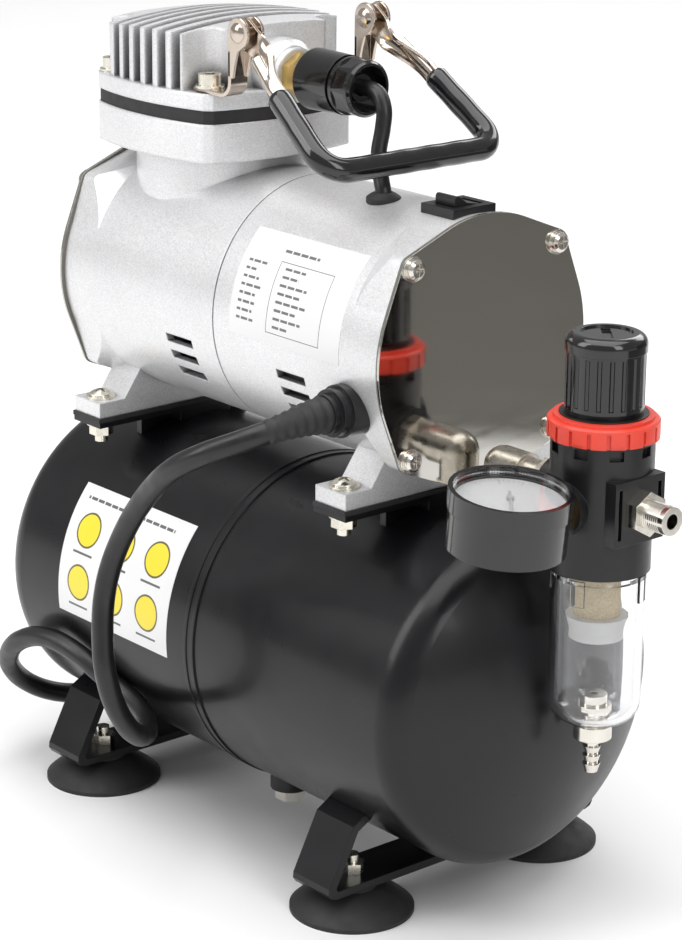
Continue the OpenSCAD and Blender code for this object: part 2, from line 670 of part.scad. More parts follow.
module handle_bail() color([0.75, 0.7, 0.64]) handle_pose() union() {
    grip(2.4, 24);
    for (s = [0, 1]) mirror([0, s, 0]) difference() {
        union() {
            along_y(27.5, 31.5, 5, 0, 0, 32);
            translate([0, 0, -3.4]) linear_extrude(6.8) polygon([[0, 27.5], [9.5, 27.5],
                [27, 35.1], [31, 35.7], [31, 39.7], [26, 38.9], [8, 31.5], [0, 31.5]]);
        }
        translate([0, 0, -2.2]) linear_extrude(4.4)
            polygon([[10.5, 22], [24, 22], [24, 36.7], [10.5, 31.2]]);
        along_y(20, 40, 1.95, 0, 0, 24);
    }
}

module handle_sleeve() color([0.05, 0.05, 0.055]) handle_pose() difference() {
    grip(4.3, 32);
    grip(2.4, 31);
}

// ---------- regulator ----------
module tank_elbow() color([0.8, 0.78, 0.74]) difference() {
    union() {
        translate([101, 0, throat_z - 2]) cylinder(r = 4.9, h = 10);
        translate([101, 0, 148.5]) nut(14, 4.5, 0);
        translate([101, 0, 152]) cylinder(r = 7, h = port_z - 152);
        translate([101, 0, port_z]) sphere(r = 7, $fn = 48);
        along_x(101, 113, 7, 0, port_z, 48);
        along_x(112.9, 121, 5.6, 0, port_z, 48);
        translate([121, 0, port_z]) rotate([0, 90, 0]) nut(13, 5, 0);
        along_x(125.9, 136, 4.9, 0, port_z, 32);
    }
    translate([101, 0, 138]) cylinder(r = 2.6, h = port_z - 138);
    along_x(101, 140, 2.6, 0, port_z, 24);
}

module regulator_body() color([0.05, 0.05, 0.055]) difference() {
    union() {
        translate([reg_x, 0, bowl_top]) cylinder(r = 17.5, h = 45.9, $fn = 96);
        translate([reg_x, 0, 185.3]) cylinder(r = 15, h = 8.4, $fn = 64);
        translate([reg_x, 0, 193.6]) cylinder(r = 12, h = 1.2, $fn = 64);
        translate([reg_x, -11.5, 152]) cube([18, 23, 22.5]);
        along_x(126, 140, 9.5, 0, port_z, 48);
        along_y(-18.6, 18.6, 9.2, reg_x, port_z, 64);
    }
    translate([reg_x, 0, bowl_top - 1]) cylinder(r = 13.2, h = 9, $fn = 64);
    translate([reg_x, 0, 147]) cylinder(r = 5, h = 27);
    along_x(125, reg_x, 2.6, 0, port_z, 24);
    along_x(125, 136, 4.9, 0, port_z, 32);
    along_x(reg_x, 170, 2.6, 0, port_z, 24);
    along_x(158, 170, 4.86, 0, port_z, 32);
    along_y(-19, -11, 5.05, reg_x, port_z, 32);
    translate([reg_x, 0, 177]) cylinder(r = 11, h = 12, $fn = 64);
    translate([reg_x, 0, 186]) cylinder(r = 4.55, h = 12, $fn = 32);
    for (q = [10 : 40 : 350]) translate([reg_x, 0, 181]) rotate([0, 0, q])
        translate([15.6, -2.4, 0]) cube([4, 4.8, 3.4]);
    for (s = [-9.9, 8.3]) translate([reg_x + 14.5, s, 154.6]) cube([5, 1.6, 17.4]);
}

module lock_ring() color([0.85, 0.16, 0.1]) translate([reg_x, 0, 185.4]) difference() {
    union() {
        cylinder(r = 18.9, h = 6, $fn = 96);
        translate([0, 0, 5.9]) cylinder(r1 = 18.9, r2 = 18.2, h = 0.8, $fn = 96);
        translate([0, 0, 6.6]) cylinder(r = 17, h = 1.2, $fn = 96);
    }
    translate([0, 0, -1]) cylinder(r = 15, h = 10, $fn = 64);
    for (q = [0 : 20 : 340]) rotate([0, 0, q]) translate([18, -0.65, -1]) cube([2, 1.3, 6.2]);
    for (q = [0 : 40 : 320]) rotate([0, 0, q]) translate([18.45, 0, -1]) rotate([0, 0, 4])
        translate([0, 0.4, 0]) cube([2, 5.2, 1.9]);
}

module regulator_knob() color([0.05, 0.05, 0.055]) translate([reg_x, 0, 0]) difference() {
    union() {
        translate([0, 0, 195.2]) cylinder(r = knob_r, h = 19.6, $fn = 96);
        rotate_extrude($fn = 96) union() {
            translate([0, 214.7]) square([knob_r + 0.5, 2.6]);
            translate([0, 217.2]) square([knob_r - 3, 3.5]);
            translate([knob_r - 3, 217.2]) circle(r = 3.5, $fn = 48);
        }
    }
    for (q = [0 : 18 : 342]) rotate([0, 0, q]) translate([knob_r + 0.2, 0, 196.6])
        cylinder(r = 0.85, h = 17.2, $fn = 16);
    translate([0, 0, 220.1]) cylinder(r = 8.8, h = 4, $fn = 64);
    rotate([0, 0, 50]) translate([-1.6, -6.5, 219.2]) cube([3.2, 13, 4]);
    translate([0, 0, 190]) cylinder(r = 5.5, h = 19, $fn = 6);
}

module adjusting_screw() color([0.8, 0.68, 0.35]) translate([reg_x, 0, 0]) {
    translate([0, 0, 182]) cylinder(r = 4.5, h = 14, $fn = 32);
    translate([0, 0, 195.9]) cylinder(r = 5.4, h = 9.6, $fn = 6);
    translate([0, 0, 179]) cylinder(r = 9, h = 3.1, $fn = 32);
}

module bowl() color([0.9, 0.93, 0.95, 0.3]) translate([reg_x, 0, 0]) difference() {
    union() {
        rotate_extrude($fn = 96) union() {
            translate([0, 92]) square([15.9, bowl_top - 92]);
            translate([0, 84.1]) square([8, 8]);
            translate([8, 92]) circle(r = 7.9, $fn = 64);
        }
        translate([0, 0, bowl_top - 1]) cylinder(r = 13.2, h = 7, $fn = 64);
        for (q = [20 : 90 : 290]) rotate([0, 0, q]) translate([14.5, -2.5, 129.5]) cube([2.1, 5, 9]);
    }
    rotate_extrude($fn = 96) union() {
        translate([0, 92]) square([13.7, 44.2]);
        translate([0, 86.3]) square([8, 6]);
        translate([7.9, 92]) circle(r = 5.8, $fn = 64);
    }
    translate([0, 0, 130]) cylinder(r = 11, h = 20, $fn = 64);
    translate([0, 0, 80]) cylinder(r = 4, h = 10, $fn = 32);
}

module filter_element() color([0.85, 0.72, 0.55]) translate([reg_x, 0, 0]) difference() {
    translate([0, 0, 122.8]) cylinder(r = 7.9, h = 24.7, $fn = 48);
    translate([0, 0, 121]) cylinder(r = 4.2, h = 40, $fn = 32);
}

module filter_baffle() color([0.92, 0.92, 0.9]) translate([reg_x, 0, 0]) union() {
    translate([0, 0, 114.6]) cylinder(r = 9.2, h = 3, $fn = 48);
    translate([0, 0, 117.5]) cylinder(r1 = 9.2, r2 = 10.6, h = 5.3, $fn = 48);
    translate([0, 0, 121]) cylinder(r = 4.1, h = 33, $fn = 32);
}

module drain_valve() color([0.82, 0.78, 0.68]) translate([reg_x, 0, 0]) difference() {
    union() {
        translate([0, 0, 86.4]) nut(11, 1.6, 0);
        translate([0, 0, 87.9]) cylinder(r = 6.2, h = 2.2, $fn = 48);
        translate([0, 0, 90]) cylinder(r = 4.6, h = 3.6, $fn = 48);
        translate([0, 0, 76]) cylinder(r = 3.9, h = 13, $fn = 32);
        translate([0, 0, 77.4]) cylinder(r = 6.6, h = 4.9, $fn = 48);
        translate([0, 0, 64.6]) cylinder(r = 2.2, h = 13, $fn = 24);
        for (z = [64.6, 67.8, 71]) translate([0, 0, z]) cylinder(r1 = 2.1, r2 = 3.1, h = 3.1, $fn = 24);
    }
    translate([0, 0, 60]) cylinder(r = 1.2, h = 40, $fn = 16);
}

module outlet_nipple() color([0.82, 0.8, 0.76]) difference() {
    union() {
        along_x(159, 166.1, 4.86, 0, port_z, 32);
        translate([166, 0, port_z]) rotate([0, 90, 0]) nut(13.5, 5, 0);
        along_x(170.9, 180.6, 4.86, 0, port_z, 48);
    }
    along_x(150, 190, 2.6, 0, port_z, 24);
}

// ---------- gauge ----------
// The gauge is drawn upright at the origin, then tilted about its stem.
module gauge_pose() translate([reg_x, gauge_y, port_z]) rotate([0, gauge_tilt, 0]) children();

module gauge_case() color([0.05, 0.05, 0.055]) gauge_pose() difference() {
    union() {
        translate([0, 0, -8.4]) cylinder(r = gauge_r - 0.5, h = 15, $fn = 96);
        translate([0, 0, 5]) cylinder(r = gauge_r, h = 7.2, $fn = 96);
    }
    translate([0, 0, -6.8]) cylinder(r = gauge_r - 2.2, h = 15, $fn = 96);
    translate([0, 0, 8]) cylinder(r = gauge_r - 1.6, h = 5, $fn = 96);
    along_y(10, 30, 5, 0, 0, 32);
}

module gauge_dial() color([0.93, 0.93, 0.92]) gauge_pose() difference() {
    translate([0, 0, 6.6]) cylinder(r = gauge_r - 2.3, h = 0.6, $fn = 96);
    translate([0, 0, 6]) cylinder(r = 1.3, h = 2, $fn = 24);
}

module gauge_needle() color([0.06, 0.06, 0.065]) gauge_pose() union() {
    translate([0, 0, 5.5]) cylinder(r = 1.2, h = 2.9, $fn = 24);
    rotate([0, 0, 50]) translate([-0.45, -15.5, 7.7]) cube([0.9, 21, 0.5]);
}

module gauge_glass() color([0.9, 0.93, 0.95, 0.25]) gauge_pose()
    translate([0, 0, 9]) cylinder(r = gauge_r - 1.6, h = 1.6, $fn = 96);

module gauge_stem() color([0.85, 0.68, 0.3]) difference() {
    union() {
        along_y(-27, -12, 5, reg_x, port_z, 32);
        translate([reg_x, -22, port_z]) rotate([-90, 0, 0]) nut(12, 3.4, 0);
    }
    along_y(-30, -10, 1.5, reg_x, port_z, 24);
}

// ---------- stickers ----------
// Thin curved skin on a cylinder lying along X, between two angles from the top, on the -Y side.
module skin(x0, x1, r, z, a0, a1, t)
    translate([x0, 0, z]) rotate([0, 90, 0]) rotate([0, 0, 180 + a0])
        rotate_extrude(angle = a1 - a0, $fn = 144) translate([r, 0]) square([t, x1 - x0]);

module rating_sticker() color([0.93, 0.93, 0.93])
    skin(7.3, 67.3, motor_r, motor_z, 44, 92.8, 0.15);

module caution_sticker() color([0.93, 0.93, 0.93])
    skin(-80, -10.8, tank_r, tank_z, 49.3, 96.5, 0.15);

tank_half_left();
tank_half_right();
drain_plug();
leg_bracket_left();
leg_bracket_right();
suction_feet();
foot_fasteners();
saddle_bars();
rubber_strips();
motor_fasteners();
crankcase();
motor_casing();
plate_gaskets();
far_end_plate();
near_end_plate();
plate_screws();
cylinder_block();
head_gasket();
cylinder_head();
head_screws();
piston();
connecting_rod();
crank_disc();
motor_shaft();
rotor();
stator();
stator_coils();
bearings();
cooling_fan();
switch_nipple();
pressure_switch();
switch_lead();
lead_grommet();
rocker_bezel();
rocker();
cord_gland();
power_cord();
cord_coil();
mains_plug();
handle_brackets();
handle_bail();
handle_sleeve();
tank_elbow();
regulator_body();
lock_ring();
regulator_knob();
adjusting_screw();
bowl();
filter_element();
filter_baffle();
drain_valve();
outlet_nipple();
gauge_case();
gauge_dial();
gauge_needle();
gauge_glass();
gauge_stem();
rating_sticker();
caution_sticker();
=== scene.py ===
import math

import bmesh
import bpy
from mathutils import Matrix, Vector


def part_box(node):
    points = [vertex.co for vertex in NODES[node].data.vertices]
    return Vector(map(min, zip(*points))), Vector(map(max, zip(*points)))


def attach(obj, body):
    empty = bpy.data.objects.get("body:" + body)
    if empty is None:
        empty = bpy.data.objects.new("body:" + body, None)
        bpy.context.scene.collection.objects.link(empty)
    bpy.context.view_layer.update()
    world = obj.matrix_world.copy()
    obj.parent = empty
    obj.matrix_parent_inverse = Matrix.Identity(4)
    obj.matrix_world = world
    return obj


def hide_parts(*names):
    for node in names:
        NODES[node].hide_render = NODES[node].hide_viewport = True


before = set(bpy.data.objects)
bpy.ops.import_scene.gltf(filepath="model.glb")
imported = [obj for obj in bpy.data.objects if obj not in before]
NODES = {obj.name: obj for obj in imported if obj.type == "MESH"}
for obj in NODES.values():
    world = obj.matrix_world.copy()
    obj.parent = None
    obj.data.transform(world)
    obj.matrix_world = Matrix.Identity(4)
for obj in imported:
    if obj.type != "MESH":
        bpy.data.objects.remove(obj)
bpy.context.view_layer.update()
MM = 0.001

# ---------------------------------------------------------------- camera
CAMERA_AT = Vector((0.7833, -0.6553, 0.4587))
AZIMUTH, ELEVATION, ROLL = (math.radians(v) for v in (49.963, 17.107, 0.375))
LENS = 109.46
SHIFT_X, SHIFT_Y = 0.0195, -0.0210


def make_camera():
    """The camera stands where the photograph was taken from."""
    ca, sa = math.cos(AZIMUTH), math.sin(AZIMUTH)
    ce, se = math.cos(ELEVATION), math.sin(ELEVATION)
    back = Vector((sa * ce, -ca * ce, se))
    level = Vector((ca, sa, 0))
    upright = back.cross(level)
    right = level * math.cos(ROLL) + upright * math.sin(ROLL)
    up = upright * math.cos(ROLL) - level * math.sin(ROLL)
    pose = Matrix((right, up, back)).transposed().to_4x4()
    pose.translation = CAMERA_AT
    data = bpy.data.cameras.new("camera")
    data.lens, data.sensor_width = LENS, 36
    data.shift_x, data.shift_y = SHIFT_X, SHIFT_Y
    data.clip_start, data.clip_end = 0.01, 60
    camera = bpy.data.objects.new("camera", data)
    camera.matrix_world = pose
    bpy.context.scene.collection.objects.link(camera)
    bpy.context.scene.camera = camera


make_camera()


# ---------------------------------------------------------------- materials
class Graph:
    """A material and short ways to add nodes to it."""

    def __init__(self, name, **sockets):
        self.material = bpy.data.materials.new(name)
        self.material.use_nodes = True
        self.tree = self.material.node_tree
        self.tree.nodes.clear()
        self.output = self.add("ShaderNodeOutputMaterial")
        self.shader = self.add("ShaderNodeBsdfPrincipled")
        self.link(self.shader.outputs[0], self.output.inputs["Surface"])
        for key, value in sockets.items():
            self.put(key.replace("_", " "), value)
        self.place = self.add("ShaderNodeTexCoord").outputs["Object"]

    def add(self, kind, **settings):
        node = self.tree.nodes.new(kind)
        for key, value in settings.items():
            setattr(node, key, value)
        return node

    def link(self, a, b):
        self.tree.links.new(a, b)

    def put(self, socket, value):
        target = self.shader.inputs[socket]
        if isinstance(value, bpy.types.NodeSocket):
            self.link(value, target)
        elif isinstance(value, (tuple, list)) and len(value) == 3 and target.type == "RGBA":
            target.default_value = (*value, 1)
        else:
            target.default_value = value

    def math(self, operation, a, b=None, c=None, clamp=False):
        node = self.add("ShaderNodeMath", operation=operation, use_clamp=clamp)
        for i, v in enumerate((a, b, c)):
            if v is None:
                continue
            if isinstance(v, bpy.types.NodeSocket):
                self.link(v, node.inputs[i])
            else:
                node.inputs[i].default_value = v
        return node.outputs[0]

    def axes(self, vector=None):
        node = self.add("ShaderNodeSeparateXYZ")
        self.link(vector or self.place, node.inputs[0])
        return node.outputs

    def noise(self, size_mm, detail=2.0, roughness=0.5, vector=None, stretch=None):
        """Noise whose cells are about size_mm wide, between 0 and 1."""
        node = self.add("ShaderNodeTexNoise")
        node.inputs["Scale"].default_value = 1000 / size_mm
        node.inputs["Detail"].default_value = detail
        node.inputs["Roughness"].default_value = roughness
        source = vector or self.place
        if stretch:
            bend = self.add("ShaderNodeVectorMath", operation="MULTIPLY")
            self.link(source, bend.inputs[0])
            bend.inputs[1].default_value = stretch
            source = bend.outputs[0]
        self.link(source, node.inputs["Vector"])
        return node.outputs["Fac"]

    def cells(self, size_mm, output="Color"):
        node = self.add("ShaderNodeTexVoronoi")
        node.inputs["Scale"].default_value = 1000 / size_mm
        self.link(self.place, node.inputs["Vector"])
        return node.outputs[output]

    def ramp(self, value, low, high, to_low=0.0, to_high=1.0):
        node = self.add("ShaderNodeMapRange")
        node.clamp = True
        self.link(value, node.inputs["Value"])
        for key, number in (("From Min", low), ("From Max", high), ("To Min", to_low), ("To Max", to_high)):
            node.inputs[key].default_value = number
        return node.outputs["Result"]

    def mix(self, factor, a, b):
        node = self.add("ShaderNodeMix", data_type="RGBA")
        if isinstance(factor, bpy.types.NodeSocket):
            self.link(factor, node.inputs["Factor"])
        else:
            node.inputs["Factor"].default_value = factor
        for key, v in (("A", a), ("B", b)):
            socket = next(s for s in node.inputs if s.name == key and s.type == "RGBA")
            if isinstance(v, bpy.types.NodeSocket):
                self.link(v, socket)
            else:
                socket.default_value = (*v, 1)
        return next(s for s in node.outputs if s.type == "RGBA")

    def shade(self, reach_mm, low, high):
        """How open the surface is within a reach: 0 in its hollows, 1 where it is clear."""
        node = self.add("ShaderNodeAmbientOcclusion", samples=6)
        node.inputs["Distance"].default_value = reach_mm * MM
        return self.ramp(node.outputs["AO"], low, high)

    def relief(self, *layers, edge_mm=0.0):
        """Bump layers of (height, strength, distance in mm), over edges rounded by edge_mm."""
        normal = None
        if edge_mm:
            node = self.add("ShaderNodeBevel", samples=4)
            node.inputs["Radius"].default_value = edge_mm * MM
            normal = node.outputs[0]
        for height, strength, distance in layers:
            node = self.add("ShaderNodeBump")
            node.inputs["Strength"].default_value = strength
            node.inputs["Distance"].default_value = distance * MM
            self.link(height, node.inputs["Height"])
            if normal:
                self.link(normal, node.inputs["Normal"])
            normal = node.outputs[0]
        self.link(normal, self.shader.inputs["Normal"])


def silver_casting(name, tone=0.74, darkest_painted_shade=0.28, edge_mm=0.8):
    """Silver paint with fine metal flakes, and painted shade that darkens its colour in its hollows."""
    g = Graph(name, Metallic=0.55, Coat_Weight=0.2, Coat_Roughness=0.3)
    flake = g.axes(g.cells(0.34))[0]
    cloud = g.noise(30, 3)
    grey = g.math("ADD", g.ramp(flake, 0, 1, tone - 0.09, tone + 0.09),
                  g.ramp(cloud, 0.3, 0.7, -0.03, 0.03))
    # Painted shade: ambient occlusion darkens the colour in slots and hollows, down to a set share of it.
    grey = g.math("MULTIPLY", grey, g.math("MULTIPLY_ADD", g.shade(11, 0.12, 0.62), 1 - darkest_painted_shade, darkest_painted_shade))
    tint = g.add("ShaderNodeCombineColor")
    for i, share in enumerate((1.0, 1.0, 1.012)):
        g.link(g.math("MULTIPLY", grey, share), tint.inputs[i])
    g.put("Base Color", tint.outputs[0])
    g.put("Roughness", g.ramp(flake, 0, 1, 0.3, 0.44))
    g.relief((g.noise(0.6, 2), 0.1, 0.08), (g.noise(8, 2), 0.06, 0.5), edge_mm=edge_mm)
    return g.material


def black_paint(name):
    g = Graph(name, Coat_Weight=0.12, Coat_Roughness=0.1, Specular_IOR_Level=0.32)
    g.put("Base Color", g.mix(g.noise(40, 3), (0.0035, 0.0037, 0.0045), (0.006, 0.0062, 0.0075)))
    g.put("Roughness", g.ramp(g.noise(14, 4), 0.3, 0.7, 0.27, 0.36))
    g.relief((g.noise(1.6, 2), 0.045, 0.1), (g.noise(30, 1), 0.05, 0.7), edge_mm=0.5)
    return g.material


def rubber(name, tone=0.016, rough=0.6, grain=0.7):
    g = Graph(name)
    g.put("Base Color", g.mix(g.noise(11, 4), (tone * 0.7,) * 3, (tone * 1.4,) * 3))
    g.put("Roughness", g.ramp(g.noise(5, 4), 0.3, 0.7, rough - 0.08, rough + 0.1))
    g.relief((g.noise(grain, 3), 0.12, 0.1), edge_mm=0.35)
    return g.material


def plastic(name, low, high, rough=0.36, grain=0.35, bump=0.08, edge=0.35, **sockets):
    g = Graph(name, **sockets)
    g.put("Base Color", g.mix(g.noise(8, 3), low, high))
    g.put("Roughness", g.ramp(g.noise(3, 4), 0.3, 0.7, rough - 0.05, rough + 0.06))
    g.relief((g.noise(grain, 3), bump, 0.08), edge_mm=edge)
    return g.material


def metal(name, low, high, rough=0.2, streak=None, edge=0.3, bump=0.05):
    g = Graph(name, Metallic=1.0)
    g.put("Base Color", g.mix(g.noise(4, 4), low, high))
    g.put("Roughness", g.ramp(g.noise(2.4, 4, stretch=streak), 0.3, 0.7, rough * 0.75, rough * 1.35))
    g.relief((g.noise(0.7, 3, stretch=streak), bump, 0.05), edge_mm=edge)
    return g.material


def mirror_plate(name):
    g = Graph(name, Metallic=1.0)
    g.put("Base Color", g.mix(g.noise(60, 2), (0.5, 0.485, 0.45), (0.56, 0.545, 0.51)))
    wipe = g.noise(5, 5, stretch=(1, 0.25, 1))
    g.put("Roughness", g.ramp(wipe, 0.35, 0.75, 0.045, 0.1))
    g.relief((g.noise(55, 1), 0.05, 0.8), (g.noise(0.5, 2, stretch=(1, 0.2, 1)), 0.012, 0.05), edge_mm=0.3)
    return g.material


def clear(name, tint=(0.97, 0.975, 0.985), rough=0.02, ior=1.49, bump=0.02):
    g = Graph(name, Transmission_Weight=1.0, IOR=ior)
    g.put("Base Color", g.mix(g.noise(12, 2), tint, tuple(min(1, t * 1.02) for t in tint)))
    g.put("Roughness", g.ramp(g.noise(5, 3), 0.3, 0.7, rough * 0.6, rough * 1.6))
    g.relief((g.noise(6, 1), bump, 0.2))
    return g.material


def sintered(name):
    g = Graph(name, Subsurface_Weight=0.08)
    g.put("Base Color", g.mix(g.axes(g.cells(0.45))[0], (0.62, 0.47, 0.27), (0.8, 0.65, 0.43)))
    g.put("Roughness", g.ramp(g.noise(1, 3), 0.3, 0.7, 0.62, 0.85))
    g.relief((g.cells(0.4, "Distance"), 0.5, 0.15))
    return g.material


MATERIALS = {
    "tank_paint": black_paint("tank_black"),
    # Both silver castings carry painted shade in their hollows; the head's is the deepest, at 0.12, for its
    # fin slots.
    "cast_silver": silver_casting("silver_speckle"),
    "head_silver": silver_casting("head_silver", 0.76, 0.12, 1.6),
    "black_rubber": rubber("rubber"),
    "cord_rubber": rubber("cord_skin", 0.007, 0.36, 0.9),
    "plated_steel": metal("nickel", (0.66, 0.63, 0.57), (0.77, 0.74, 0.68), 0.17),
    "satin_nickel": metal("satin_nickel", (0.62, 0.58, 0.51), (0.74, 0.7, 0.63), 0.3, bump=0.1),
    "warm_steel": metal("warm_nickel", (0.52, 0.44, 0.37), (0.68, 0.6, 0.53), 0.14),
    "zinc": metal("zinc", (0.7, 0.66, 0.55), (0.82, 0.79, 0.72), 0.26),
    "polished_plate": mirror_plate("mirror_plate"),
    "gasket_card": plastic("gasket_card", (0.12, 0.115, 0.1), (0.2, 0.19, 0.17), 0.75, 0.5, 0.2),
    "dark_steel": metal("dark_steel", (0.3, 0.3, 0.31), (0.42, 0.42, 0.43), 0.32),
    "core_steel": plastic("core_steel", (0.02, 0.019, 0.018), (0.045, 0.042, 0.04), 0.5),
    "pale_mark": plastic("pale_mark", (0.6, 0.6, 0.6), (0.7, 0.7, 0.7), 0.4),
    "copper_wire": metal("copper_wire", (0.62, 0.25, 0.1), (0.75, 0.36, 0.17), 0.35, (8, 1, 1), bump=0.4),
    "brass": metal("brass", (0.74, 0.5, 0.16), (0.86, 0.62, 0.24), 0.16),
    "black_plastic": plastic("moulded_black", (0.006, 0.006, 0.007), (0.011, 0.011, 0.012), 0.33,
                             Specular_IOR_Level=0.42),
    "gloss_black": plastic("gloss_black", (0.004, 0.004, 0.005), (0.008, 0.008, 0.009), 0.13, 0.8, 0.02,
                           Specular_IOR_Level=0.5, Coat_Weight=0.35, Coat_Roughness=0.06),
    "red_plastic": plastic("ring_red", (0.72, 0.045, 0.025), (0.84, 0.07, 0.04), 0.34,
                           Subsurface_Weight=0.04),
    "clear_plastic": clear("bowl_clear"),
    "gauge_clear": clear("gauge_clear", rough=0.012, bump=0.01),
    "filter_foam": sintered("sintered_filter"),
    "white_plastic": plastic("white_plastic", (0.72, 0.72, 0.7), (0.84, 0.84, 0.82), 0.42,
                             Subsurface_Weight=0.05),
    "black_mark": plastic("black_mark", (0.015, 0.015, 0.015), (0.03, 0.03, 0.03), 0.5),
    "sticker_film": plastic("film", (0.8, 0.8, 0.8), (0.88, 0.88, 0.88), 0.4, 1.5, 0.03),
}

FINISH = {
    "cylinder_head": "head_silver", "cylinder_block": "head_silver",
    "handle_brackets": "warm_steel", "handle_bail": "warm_steel", "head_screws": "zinc",
    "foot_fasteners": "zinc", "motor_fasteners": "zinc",
    "handle_sleeve": "gloss_black", "gauge_case": "gloss_black", "pressure_switch": "gloss_black",
    "stator": "core_steel", "rotor": "core_steel", "gauge_needle": "pale_mark",
    "gauge_glass": "gauge_clear", "tank_elbow": "satin_nickel",
    "regulator_knob": "gloss_black",
}


def finish_node(name, material):
    for slot in NODES[name].material_slots:
        slot.material = material


for node_name, node in NODES.items():
    packed = node.material_slots[0].material.name.split(".")[0]
    finish_node(node_name, MATERIALS[FINISH.get(node_name, packed)])


# ---------------------------------------------------------------- shapes
def add_object(name, data, material, body, smooth=True):
    piece = bpy.data.objects.new(name, data)
    bpy.context.scene.collection.objects.link(piece)
    if material is not None:
        data.materials.append(material)
    if smooth and isinstance(data, bpy.types.Mesh):
        data.polygons.foreach_set("use_smooth", [True] * len(data.polygons))
    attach(piece, body)
    return piece


def curve_tube(name, points, radius, material, body):
    """A round tube along one open spline."""
    data = bpy.data.curves.new(name, "CURVE")
    data.dimensions = "3D"
    data.bevel_depth, data.bevel_resolution = radius, 6
    data.use_fill_caps = True
    spline = data.splines.new("POLY")
    spline.points.add(len(points) - 1)
    for place, point in zip(spline.points, points):
        place.co = (*point, 1)
    spline.use_smooth = True
    return add_object(name, data, material, body)


def catmull(points, steps):
    """Points of a smooth curve through the given ones, as part.scad sweeps it."""
    out = []
    p = [Vector(q) for q in points]
    for i in range(len(p) - 1):
        a, b, c, d = p[max(i - 1, 0)], p[i], p[i + 1], p[min(i + 2, len(p) - 1)]
        for k in range(steps):
            t = k / steps
            out.append(0.5 * (2 * b + (c - a) * t + (2 * a - 5 * b + 4 * c - d) * t * t
                              + (3 * b - a - 3 * c + d) * t ** 3))
    return out + [p[-1]]


# ---------------------------------------------------------------- cords
# Places and sizes from here on are millimetres, as in part.scad.
CORD_D = 8
LEAD_R = 2.9
COIL_AT = (-75, 134)
COIL_START_R, COIL_INWARD, COIL_OUTWARD, COIL_TO_PLUG = 52, 16, 14, 13
COIL_DEGREES, COIL_STEP = 1590, 7.5
LOWER_TURNS, UPPER_START, UPPER_END, LAST_TURN = 720, 810, 1440, 1475
CORD_WAY = [
    (70, -53, 184.5), (70, -62, 184.4), (67.6, -73.4, 182.4), (61.2, -84.6, 178.4),
    (50.2, -92.9, 172.6), (36.3, -95.8, 164), (18.6, -93.4, 149.6), (5.6, -92.7, 134.1),
    (-1.3, -94.3, 119.1), (-3.1, -96.4, 105.9), (-1.6, -98.3, 92.3), (0.5, -98.9, 80.8),
    (1.1, -95.9, 68.2), (-0.9, -88.6, 56.1), (-6.2, -79.2, 48.1), (-14.4, -69.8, 44.4),
    (-24.7, -62.7, 44.4), (-35.5, -59.3, 46.4), (-45.7, -59.2, 49.3), (-54.3, -61.3, 52.9),
    (-64.4, -63.8, 58.1), (-78.6, -66.1, 61.1), (-91.7, -67.6, 59.2), (-104.7, -67.7, 52.1),
    (-115.8, -63.4, 41.2), (-121.4, -55.5, 30.9), (-122.4, -45.5, 23), (-120, -35, 18.5),
    (-116, -24, 17), (-115, -8, 14.5), (-114, 12, 10), (-113, 34, 6), (-113, 56, 4.3),
    (-114.5, 76, 4.2), (-119, 96, 4.2), (-124.5, 114, 4.2), (-127, 130, 4.2)]
LEAD_WAY = [
    (19, 0, 284), (26, 0, 284.4), (33, -0.3, 283.2), (36.8, -1, 278), (37.3, -2, 271.5),
    (37.8, -4, 264.5), (39, -5, 259.5), (41.8, -6.2, 254.6), (43.8, -7, 251), (44, -7, 247.4)]


def ease(t):
    t = min(max(t, 0.0), 1.0)
    return t * t * (3 - 2 * t)


def coil_points():
    """The stored length: inwards below, outwards on top, and a last turn over it to the plug."""
    points = []
    upper_turns = UPPER_END - UPPER_START
    for step in range(1, int(COIL_DEGREES / COIL_STEP) + 1):
        turn = step * COIL_STEP
        radius = COIL_START_R - COIL_INWARD * min(turn, LOWER_TURNS) / LOWER_TURNS
        radius += COIL_OUTWARD * min(max(turn - UPPER_START, 0), upper_turns) / upper_turns
        height = CORD_D / 2 + CORD_D * ease((turn - LOWER_TURNS) / (UPPER_START - LOWER_TURNS))
        if turn > UPPER_END:
            height += CORD_D * ease((turn - UPPER_END) / 70)
            radius -= COIL_TO_PLUG * ease((turn - LAST_TURN) / (COIL_DEGREES - LAST_TURN))
        angle = math.radians(180 - turn)
        points.append((COIL_AT[0] + radius * math.cos(angle), COIL_AT[1] + radius * math.sin(angle),
                       height + 0.2))
    return points


def make_cord():
    route = catmull(CORD_WAY, 8) + [Vector(p) for p in coil_points()]
    route = [p * MM for p in route]
    cord = curve_tube("mains_cord", route, CORD_D / 2 * MM, MATERIALS["cord_rubber"], "frame")
    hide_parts("power_cord", "cord_coil")
    lead = curve_tube("switch_wire", [p * MM for p in catmull(LEAD_WAY, 8)], LEAD_R * MM,
                      MATERIALS["cord_rubber"], "frame")
    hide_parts("switch_lead")


make_cord()


# ---------------------------------------------------------------- mesh pieces
def mesh_object(name, points, faces, material, body, bevel_mm=0.0, smooth_angle=35):
    data = bpy.data.meshes.new(name)
    data.from_pydata([Vector(p) * MM for p in points], [], faces)
    shape = bmesh.new()
    shape.from_mesh(data)
    bmesh.ops.remove_doubles(shape, verts=shape.verts, dist=1e-6)
    bmesh.ops.recalc_face_normals(shape, faces=shape.faces)
    limit = math.radians(smooth_angle)
    for edge in shape.edges:
        edge.smooth = len(edge.link_faces) != 2 or edge.calc_face_angle() < limit
    shape.to_mesh(data)
    shape.free()
    piece = add_object(name, data, material, body)
    if bevel_mm:
        bevel = piece.modifiers.new("edges", "BEVEL")
        bevel.width, bevel.segments = bevel_mm * MM, 2
        bevel.limit_method, bevel.angle_limit = "ANGLE", math.radians(smooth_angle)
        bevel.harden_normals = True
    return piece


